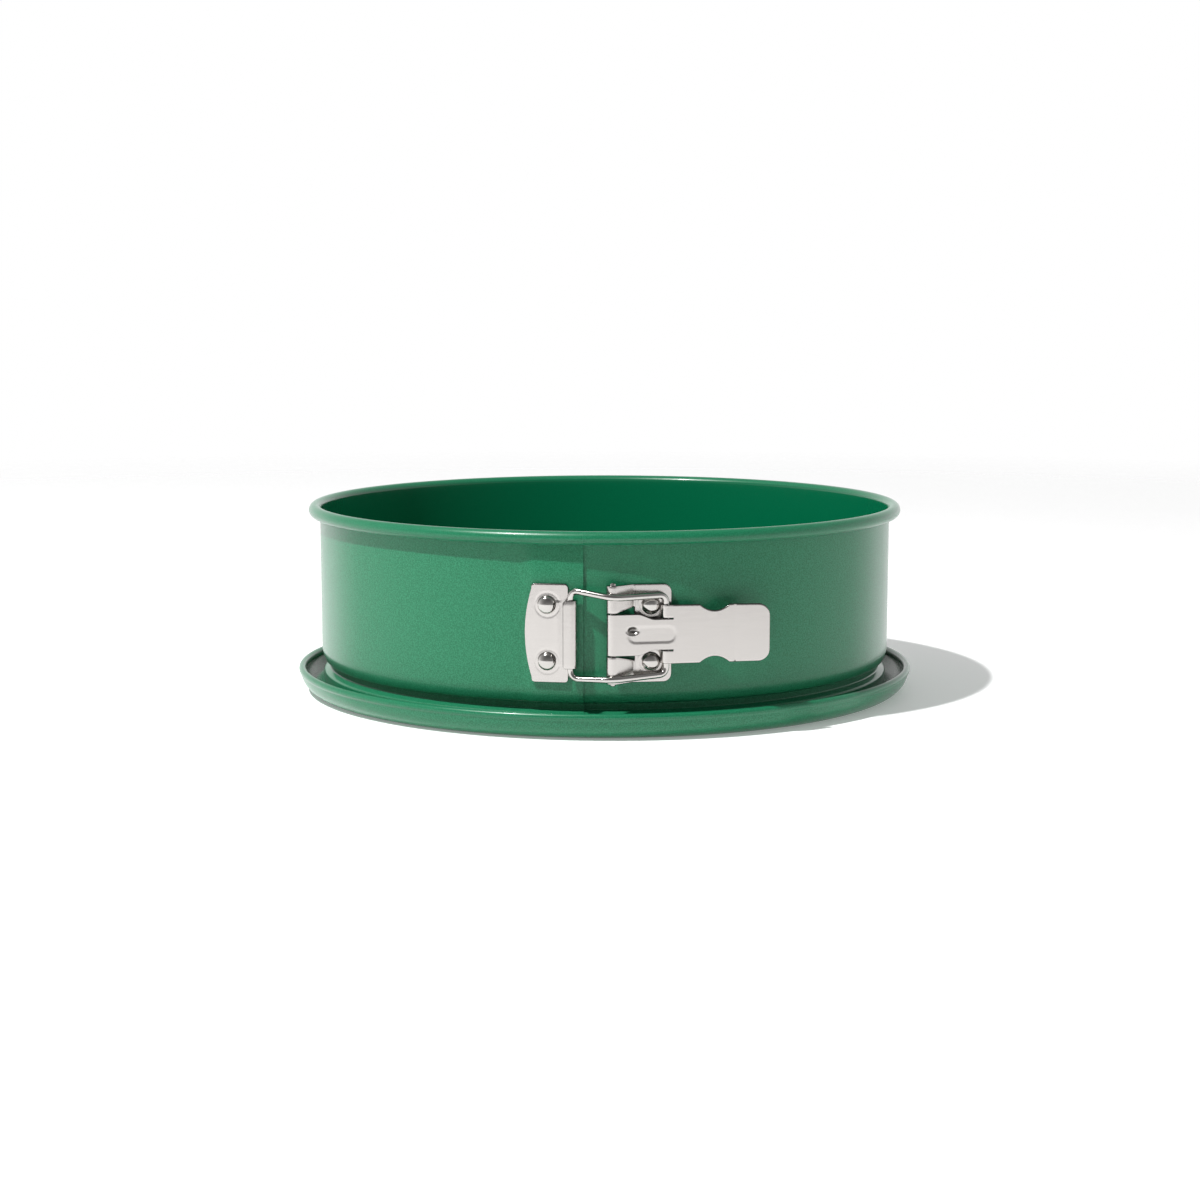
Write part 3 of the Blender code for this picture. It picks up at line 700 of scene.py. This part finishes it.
def lever_grids():
    """Tongue, plate and two shoulders. Each notch is 1 - u^2, for u from -1 to 1 across it, and a shoulder is
    an arc about the bail's leg that gets thinner along its first half."""
    curl = arc(PIN[:2], lever_r, LEVER_TILT - 90 - 262, LEVER_TILT - 90, 40)
    far = np.linspace(0.4, ROOT_AT, 76)
    tongue = np.concatenate([curl, lever_line(far)])
    distance = np.concatenate([np.full(len(curl), -9.0), far])
    share = np.clip((distance - 7.5) / 5.7, 0.0, 1.0)
    half = 6.6 - 1.7 * (3 * share**2 - 2 * share**3)
    plate_at = np.concatenate([np.linspace(ROOT_AT, BEND_AT, 80), np.linspace(BEND_AT + 0.15, LEVER_END, 50)])
    wide = 9.35 - 0.2 * (plate_at - ROOT_AT) / (LEVER_END - ROOT_AT)
    notch = np.clip(1 - ((plate_at - NOTCH_AT) / NOTCH_HALF) ** 2, 0.0, 1.0)
    wide = wide - NOTCH_DEPTH * notch - corner_drop(LEVER_END - plate_at, 3.7)
    front = LEVER_TILT - 90
    turn = np.linspace(0.0, 1.0, 35)
    thinned = LEVER_GAUGE - SHOULDER_THINNING * np.clip(turn * 2.0, 0.0, 1.0)
    hook_r = WIRE_R + RUNNING_GAP + thinned[:, None] / 2
    hook = leg + hook_r * arc((0.0, 0.0), 1.0, front, front - SHOULDER_TURN, 34)
    lead = lever_line(np.linspace(ROOT_AT, LEG_AT + 0.3, 6))
    shoulder = np.concatenate([lead, hook])
    gauge = np.concatenate([np.full(len(lead), LEVER_GAUGE), thinned])
    near, far_side = np.full(len(shoulder), SHOULDER_FROM), np.full(len(shoulder), SHOULDER_TO)
    return [
        bent_sheet(tongue, -half, half, LEVER_GAUGE, 80, rib(distance)),
        bent_sheet(lever_line(plate_at), -wide, wide, LEVER_GAUGE, 40, rib(plate_at)),
        bent_sheet(shoulder, near, far_side, gauge, 10),
        bent_sheet(shoulder, -far_side, -near, gauge, 10),
    ]


grids = lever_grids()
# The edge marks darken the cut edges and the tab's free end: partly dull sheared steel, partly painted shade.
edges = cut_edge_and_shade_marks(grids, [80, 40, 10, 10], [0, 1, 0, 0])
# Painted shade: the rib's deep well is darkened through the edge mark, for the shade inside the recess.
tongue_face = grids[0][:, :80] - np.array([*PIN[:2], LATCH_Z])
painted_well_shade = well(tongue_face[..., :2] @ lever_along, tongue_face[..., 2])
edges[0][:, :80] = np.maximum(edges[0][:, :80], 0.9 * painted_well_shade)
lever = shell("lever_skin", grids, sharp=40, marks=edges, label="cut_edge_and_shade")
finish_piece(lever, "lever", "satin_steel", SATIN, "lever")

# %% [markdown]
# ## Bail
# The bail is a loop of drawn wire: straight where it turns in the fold and in the shoulders, and bowed
# outwards between them, so that it clears the knuckles. A circle is carried along a closed route with
# rounded corners, and its frame stays level because the route never runs straight up for long at a bend.

# %% Bail
BAIL_BOW_Y = -108.1


def bail_route():
    """Six corners, each rounded by a parabola; the loop closes on itself."""
    upper = [(FOLD[0], FOLD[1], 14.1), (PIN[0], BAIL_BOW_Y, 12.0), (leg[0], leg[1], 12.2)]
    lower = [(leg[0], leg[1], -13.0), (PIN[0], BAIL_BOW_Y, -13.8), (FOLD[0], FOLD[1], -14.2)]
    corners = np.array(upper + lower)
    start = (corners[0] + corners[-1]) / 2
    loop = rounded(np.concatenate([[start], corners, [start]]), [3.2, 3.4, 2.6, 2.6, 3.4, 3.2], 14)
    return loop[:-1] + np.array([0.0, 0.0, LATCH_Z])


def tube(route, radius, sides):
    """Points route(s) + radius (cos a N + sin a B), with B = the loop's own normal less its part along the
    tangent T, and N = B x T."""
    t = np.roll(route, -1, axis=0) - np.roll(route, 1, axis=0)
    t /= np.linalg.norm(t, axis=1)[:, None]
    b = np.array([0.0, -1.0, 0.0]) - t * (t @ np.array([0.0, -1.0, 0.0]))[:, None]
    b /= np.linalg.norm(b, axis=1)[:, None]
    n = np.cross(b, t)
    a = np.linspace(0.0, 2 * np.pi, sides + 1)[:-1][None, :, None]
    return route[:, None, :] + radius * (np.cos(a) * n[:, None, :] + np.sin(a) * b[:, None, :])


bail = shell("bail_skin", [tube(bail_route(), WIRE_R, 24)], wrap=True, sharp=60)
finish_piece(bail, "bail", "bright_steel", BRIGHT, "bail")

# %% [markdown]
# ## Hinge pin and rivets
# These are turned or headed, so each is an outline spun round its own axis. The pin is headed slightly at
# both ends to keep it in its knuckles. A rivet has a full dome outside, a thin flange where the tool met
# the plate, and a flattened tail inside the ring.

# %% Pin and rivets
PIN_HALF_LENGTH = 16.4


def turned(outline, centre, axis, sides=48):
    """Points centre + r (cos a U + sin a V) + h axis, for an outline (r, h) and two directions U and V square
    to the axis."""
    axis = np.array(axis, float)
    u = np.cross(axis, [0.0, 0.0, 1.0]) if abs(axis[2]) < 0.9 else np.array([1.0, 0.0, 0.0])
    v = np.cross(axis, u)
    a = np.linspace(0.0, 2 * np.pi, sides + 1)[:-1][:, None, None]
    r, h = outline[None, :, :1], outline[None, :, 1:]
    return np.array(centre) + r * (np.cos(a) * u + np.sin(a) * v) + h * axis


def pin_outline():
    """Half the pin's outline (r, h) with a rounded head, and the same with h turned round."""
    half = PIN_HALF_LENGTH
    head = [(0.0, half), (0.5, half - 0.02), (0.85, half - 0.12)]
    upper = np.array(head + [(PIN_R, half - 0.35), (PIN_R, half - 0.9)])
    return np.concatenate([upper, upper[::-1] * [1, -1]])


def rivet_outline(seat):
    """A dome (2.95 sin a, 1.76 cos a) above the seat, a thin flange, the shank and the flattened tail."""
    a = np.linspace(0.0, np.pi / 2, 14)
    dome = np.stack([2.95 * np.sin(a), seat + 0.14 + 1.76 * np.cos(a)], axis=1)
    flange = [(3.1, seat + 0.1), (3.1, seat), (1.5, seat)]
    tail = [(1.5, -0.7), (2.3, -0.7), (2.4, -0.8), (2.3, -1.25), (0.0, -1.3)]
    return np.concatenate([dome, np.array(flange + tail)])


pin = shell("hinge_pin_skin", [turned(pin_outline(), PIN, (0, 0, 1), 32)], wrap=True, sharp=50)
finish_piece(pin, "ring_right", "bright_steel", BRIGHT, "hinge_pin")

for prefix, x, wall_r, body in (
    ("catch", CATCH_RIVET_X, WALL_OUTER_R + JOGGLE, "ring_left"),
    ("bracket", BRACKET_RIVET_X, WALL_OUTER_R, "ring_right"),
):
    for sign, word in ((1, "upper"), (-1, "lower")):
        angle = math.asin(x / wall_r)
        out = np.array([math.sin(angle), -math.cos(angle), 0.0])
        foot = out * wall_r + np.array([0.0, 0.0, LATCH_Z + sign * RIVET_SPREAD])
        grid = turned(rivet_outline(SEAT_GAP + GAUGE + 0.02), foot, out)
        rivet = shell(f"{prefix}_rivet_{word}_skin", [grid], wrap=True, sharp=40)
        finish_piece(rivet, body, "bright_steel", BRIGHT, f"{prefix}_rivet_{word}")

# %% [markdown]
# ## Floor
# The pan stands on a pale floor. It fades out with the distance from the pan, so that no horizon shows,
# and it gives off a little light of its own so that it stays pale around the shadow.

# %% Floor
FADE_START, FADE_END = 0.45, 1.1


def radius_from_axis(tree):
    """The length of the object-space position."""
    place, length = tree.nodes.new("ShaderNodeTexCoord"), tree.nodes.new("ShaderNodeVectorMath")
    length.operation = "LENGTH"
    tree.links.new(place.outputs["Object"], length.inputs[0])
    return length.outputs["Value"]


def pale_floor(reach=6.0):
    """A square of a reach either way, whose alpha falls from 1 to 0 between two radii."""
    mesh = bpy.data.meshes.new("studio_floor")
    corners = [(-reach, -reach, 0), (reach, -reach, 0), (reach, reach, 0), (-reach, reach, 0)]
    mesh.from_pydata(corners, [], [(0, 1, 2, 3)])
    floor = bpy.data.objects.new("studio_floor", mesh)
    bpy.context.scene.collection.objects.link(floor)
    material = bpy.data.materials.new("pale_floor")
    material.use_nodes = True
    tree = material.node_tree
    shader = tree.nodes["Principled BSDF"]
    shader.inputs["Base Color"].default_value = (0.86, 0.86, 0.86, 1.0)
    shader.inputs["Roughness"].default_value = 0.6
    shader.inputs["Specular IOR Level"].default_value = 0.2
    shader.inputs["Emission Color"].default_value = (1.0, 1.0, 1.0, 1.0)
    shader.inputs["Emission Strength"].default_value = 0.22
    fade = ranged(tree, radius_from_axis(tree), 1.0, 0.0)
    fade.node.inputs["From Min"].default_value = FADE_START
    fade.node.inputs["From Max"].default_value = FADE_END
    tree.links.new(fade, shader.inputs["Alpha"])
    mesh.materials.append(material)


pale_floor()
print("the floor fades between", FADE_START, "and", FADE_END, "m from the pan's axis")

# %% [markdown]
# ## Room and key light
# One small, strong lamp on the upper left is the key light, and gives a clean shadow to the right. The
# white room fills in. It is dimmer in front of the pan than behind it, so that the wall darkens away from
# the lamp and whitens where it turns towards the sides.

# %% Room and key light
ROOM_FRONT, ROOM_BACK, ROOM_CEILING = 0.30, 1.20, 0.3
LAMP_AZIMUTH, LAMP_ELEVATION, LAMP_DISTANCE = 49, 57, 1.6


def white_room(front, back, ceiling):
    """World light that rises from front to back along +Y and falls from the horizon to the ceiling; the
    backdrop itself is plain white."""
    world = bpy.data.worlds.new("white_room")
    world.use_nodes = True
    bpy.context.scene.world = world
    tree = world.node_tree
    shade, backdrop = tree.nodes["Background"], tree.nodes.new("ShaderNodeBackground")
    place, split = tree.nodes.new("ShaderNodeTexCoord"), tree.nodes.new("ShaderNodeSeparateXYZ")
    rise, path = tree.nodes.new("ShaderNodeMapRange"), tree.nodes.new("ShaderNodeLightPath")
    mix = tree.nodes.new("ShaderNodeMixShader")
    rise.inputs["From Min"].default_value = -0.8
    rise.inputs["From Max"].default_value = 0.1
    rise.inputs["To Min"].default_value = front
    rise.inputs["To Max"].default_value = back
    fall, both = tree.nodes.new("ShaderNodeMapRange"), tree.nodes.new("ShaderNodeMath")
    fall.inputs["From Max"].default_value = 0.75
    fall.inputs["To Min"].default_value = 1.0
    fall.inputs["To Max"].default_value = ceiling
    both.operation = "MULTIPLY"
    shade.inputs["Color"].default_value = (1.0, 1.0, 1.0, 1.0)
    backdrop.inputs["Color"].default_value = (1.0, 1.0, 1.0, 1.0)
    link = tree.links.new
    link(place.outputs["Generated"], split.inputs["Vector"])
    link(split.outputs["Y"], rise.inputs["Value"])
    link(split.outputs["Z"], fall.inputs["Value"])
    link(rise.outputs["Result"], both.inputs[0])
    link(fall.outputs["Result"], both.inputs[1])
    link(both.outputs["Value"], shade.inputs["Strength"])
    link(path.outputs["Is Camera Ray"], mix.inputs["Fac"])
    link(shade.outputs["Background"], mix.inputs[1])
    link(backdrop.outputs["Background"], mix.inputs[2])
    link(mix.outputs["Shader"], tree.nodes["World Output"].inputs["Surface"])


def aim(obj, position, target):
    """Place an object and turn its -Z axis to the target."""
    obj.location = position
    obj.rotation_euler = (Vector(target) - Vector(position)).to_track_quat("-Z", "Y").to_euler()
    bpy.context.scene.collection.objects.link(obj)


def key_light(azimuth, elevation, distance, size, power):
    """A square lamp at polar angles to the left of the front and above the floor."""
    data = bpy.data.lights.new("key", "AREA")
    data.size, data.energy = size, power
    a, e = math.radians(azimuth), math.radians(elevation)
    along = distance * math.cos(e)
    position = (-along * math.sin(a), -along * math.cos(a), distance * math.sin(e))
    aim(bpy.data.objects.new("key", data), position, (0.0, 0.0, 0.03))


white_room(ROOM_FRONT, ROOM_BACK, ROOM_CEILING)
key_light(LAMP_AZIMUTH, LAMP_ELEVATION, LAMP_DISTANCE, size=0.05, power=30)
print("lamp at", LAMP_DISTANCE, "m; room", ROOM_FRONT, "in front and", ROOM_BACK, "behind")

# %% [markdown]
# ## Camera
# A long lens, a little above the rim and tilted down by 8 degrees, shows the latch square on and just
# enough of the inside.

# %% Camera
CAMERA_TILT = 0.139
camera_data = bpy.data.cameras.new("camera")
camera_data.sensor_width, camera_data.lens = 36.0, 70.3
camera = bpy.data.objects.new("camera", camera_data)
camera.location = (-0.00162, -0.82935, 0.14595)
camera.rotation_euler = (math.pi / 2 - CAMERA_TILT, 0.0, 0.0)
bpy.context.scene.collection.objects.link(camera)
bpy.context.scene.camera = camera
bpy.context.scene.view_settings.view_transform = "Standard"
print("camera tilted down by", round(math.degrees(CAMERA_TILT), 1), "degrees")
